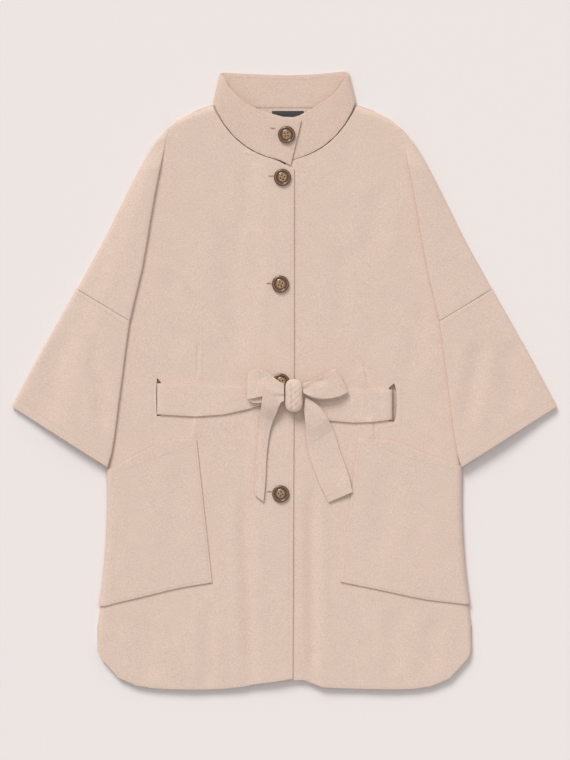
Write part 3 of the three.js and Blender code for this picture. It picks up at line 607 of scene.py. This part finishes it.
ROWS = {
    "collar": [
        [(-84, 448), (-79, 433), (-70, 420), (-56, 407), (-40, 396), (-23, 388.5), (-10, 384), (3, 382),
         (18, 382.5), (19, 374), (17, 360), (12, 346), (5, 328)],
        [(85, 444), (77, 430), (66, 417), (51, 405), (37, 395), (29, 391)],
        [(-86, 449), (-60, 447), (-40, 446.5), (0, 445), (33, 445), (62, 448), (86, 450)],
    ],
    "front_right": [
        [(8, 308), (8.5, 240), (8.5, 60), (8, 0)], [(7, -60), (6.5, -170), (6, -300), (5, -434)],
        [(-184, 11), (-195.5, 11), (-195.5, -61), (-182, -61)],
    ],
    "front_left": [
        [(160, 1), (172.5, 1), (172.5, -68), (156, -68)],
    ],
    "pocket_right": [
        [(-136, -96), (-150, -100), (-190, -115), (-240, -133), (-252, -137)],
        [(-133, -93), (-127, -145), (-120, -200), (-112, -290), (-113, -295), (-150, -302),
         (-190, -311.5), (-238, -323), (-262, -328)],
    ],
    "pocket_left": [
        [(113, -94), (132, -96), (184, -115), (218, -124), (252, -132)],
        [(112, -94), (106, -147), (98, -200), (91, -253), (87, -293), (135, -305), (184, -316),
         (237, -326), (260, -327)],
    ],
    "sleeve_right": [[(-233, 80), (-305, 127)], [(-264, -114), (-396, -29)]],
    "sleeve_left": [[(233, 80), (305, 127)], [(264, -114), (396, -29)]],
    "belt_tail_left": [[(62, -172), (97, -157)]],
}
count = 0
for name, rows in ROWS.items():
    work = bmesh.new()
    for row in rows:
        stitch_row(work, [name], row)
    count += len(work.faces)
    finished(work, f"{name}_stitches", thread)
print("stitch faces:", count)

# %% [markdown]
# A worked buttonhole is a narrow slit between two closely oversewn lips. Here the lips are a
# ring of tiny strands, side by side, left of each button where the slit shows. The slit itself is a darker
# strand of painted shade.

# %% Buttonholes
HOLES = [(-17, 371.5), (-20, 301), (-23, 142.5), (-22, -165)]
work = bmesh.new()
slit_shade_strands = bmesh.new()
for x, y in HOLES:
    names = ["collar", "front_right"]
    for i in range(11):
        px = (x - 3.6 + i * 0.72) * MM
        for side in (-1, 1):
            low = cloth_below(names, px, (y + side * 0.35) * MM)
            high = cloth_below(names, px, (y + side * 1.5) * MM)
            if low and high:
                strand(work, low, high, 0.34 * MM, 0.18 * MM, 3, 5)
    left, right = cloth_below(names, (x - 3.8) * MM, y * MM), cloth_below(names, (x + 3.8) * MM, y * MM)
    if left and right:
        strand(slit_shade_strands, left, right, 0.3 * MM, 0.12 * MM, 6, 6)
# The slit's darker colour is painted shade in the gap between the lips.
slit_shade_paint, _, _ = new_material("painted slit shade", Roughness=0.9, Base_Color=rgb(120, 92, 78))
finished(work, "buttonhole_lips", thread)
finished(slit_shade_strands, "buttonhole_slit_shade", slit_shade_paint)
print("buttonholes:", len(HOLES))

# %% [markdown]
# The neck label is a plain woven satin rectangle, dark and bare.

# %% Label


def satin_material():
    material, tree, surface = new_material("label satin", Roughness=0.5)
    place = node(tree, "ShaderNodeTexCoord", output=3)
    weave = node(tree, "ShaderNodeTexWave", {"bands_direction": "Y"},
                 {"Vector": place, "Scale": 900.0, "Distortion": 1.5, "Detail": 2.0})
    stops = [(0.0, rgb(38, 38, 40)), (1.0, rgb(54, 53, 54))]
    colour = node(tree, "ShaderNodeValToRGB", {"stops": stops}, {"Fac": weave})
    bump = node(tree, "ShaderNodeBump", {}, {"Strength": 0.2, "Distance": 0.0002, "Height": weave})
    tree.links.new(colour.socket, surface.inputs["Base Color"])
    tree.links.new(bump.socket, surface.inputs["Normal"])
    return material


label = shell("label_cloth", "label", satin_material(), edge=0.15)

# %% [markdown]
# The floor is plain and pale. A soft sun from beyond the collar, a little to the left, gives the
# shadow below the hem. A weak lamp above and even surroundings fill the rest.

# %% Floor, light and camera
low, high = construction_box
middle = Vector(((low[0] + high[0]) / 2, (low[1] + high[1]) / 2, 0.0))
floor_mesh = bpy.data.meshes.new("floor")
reach = 6.0
floor_mesh.from_pydata([(-reach, -reach, 0), (reach, -reach, 0), (reach, reach, 0), (-reach, reach, 0)],
                       [], [(0, 1, 2, 3)])
floor = bpy.data.objects.new("floor", floor_mesh)
bpy.context.scene.collection.objects.link(floor)
floor_paint, floor_tree, floor_surface = new_material("floor", Roughness=0.9,
                                                      Base_Color=rgb(238, 231, 229))
grain = node(floor_tree, "ShaderNodeTexNoise", {}, {"Scale": 60.0})
floor_bump = node(floor_tree, "ShaderNodeBump", {}, {"Strength": 0.02, "Distance": 0.0002, "Height": grain})
floor_tree.links.new(floor_bump.socket, floor_surface.inputs["Normal"])
floor_mesh.materials.append(floor_paint)


def area_light(name, place, size, power, colour=(1, 1, 1)):
    data = bpy.data.lights.new(name, "AREA")
    data.shape = "DISK"
    data.size = size
    data.energy = power
    data.color = colour
    lamp = bpy.data.objects.new(name, data)
    lamp.location = place
    lamp.rotation_euler = (middle - Vector(place)).to_track_quat("-Z", "Y").to_euler()
    bpy.context.scene.collection.objects.link(lamp)


key_data = bpy.data.lights.new("key", "SUN")
key_data.energy = 2.05
key_data.angle = math.radians(26)
key_data.color = (1.0, 0.995, 0.985)
key = bpy.data.objects.new("key", key_data)
key.rotation_euler = Vector((0.34, -0.80, -0.72)).to_track_quat("-Z", "Y").to_euler()
bpy.context.scene.collection.objects.link(key)
area_light("fill", (0.3, 0.2, 4.5), 3.0, 22)
world = bpy.data.worlds.new("surroundings")
world.use_nodes = True
world.node_tree.nodes["Background"].inputs["Color"].default_value = (1, 0.995, 0.99, 1)
world.node_tree.nodes["Background"].inputs["Strength"].default_value = 0.47
bpy.context.scene.world = world
bpy.context.scene.view_settings.view_transform = "Standard"

CAMERA_HEIGHT = 5.0
VIEW_LENGTH = 1.1248
camera_data = bpy.data.cameras.new("camera")
camera_data.sensor_width = 36.0
camera_data.lens = camera_data.sensor_width * CAMERA_HEIGHT / VIEW_LENGTH
camera_data.clip_end = 50.0
camera = bpy.data.objects.new("camera", camera_data)
camera.location = (0.0007, 0.0, CAMERA_HEIGHT)
bpy.context.scene.collection.objects.link(camera)
bpy.context.scene.camera = camera
print("camera lens:", round(camera_data.lens, 1))
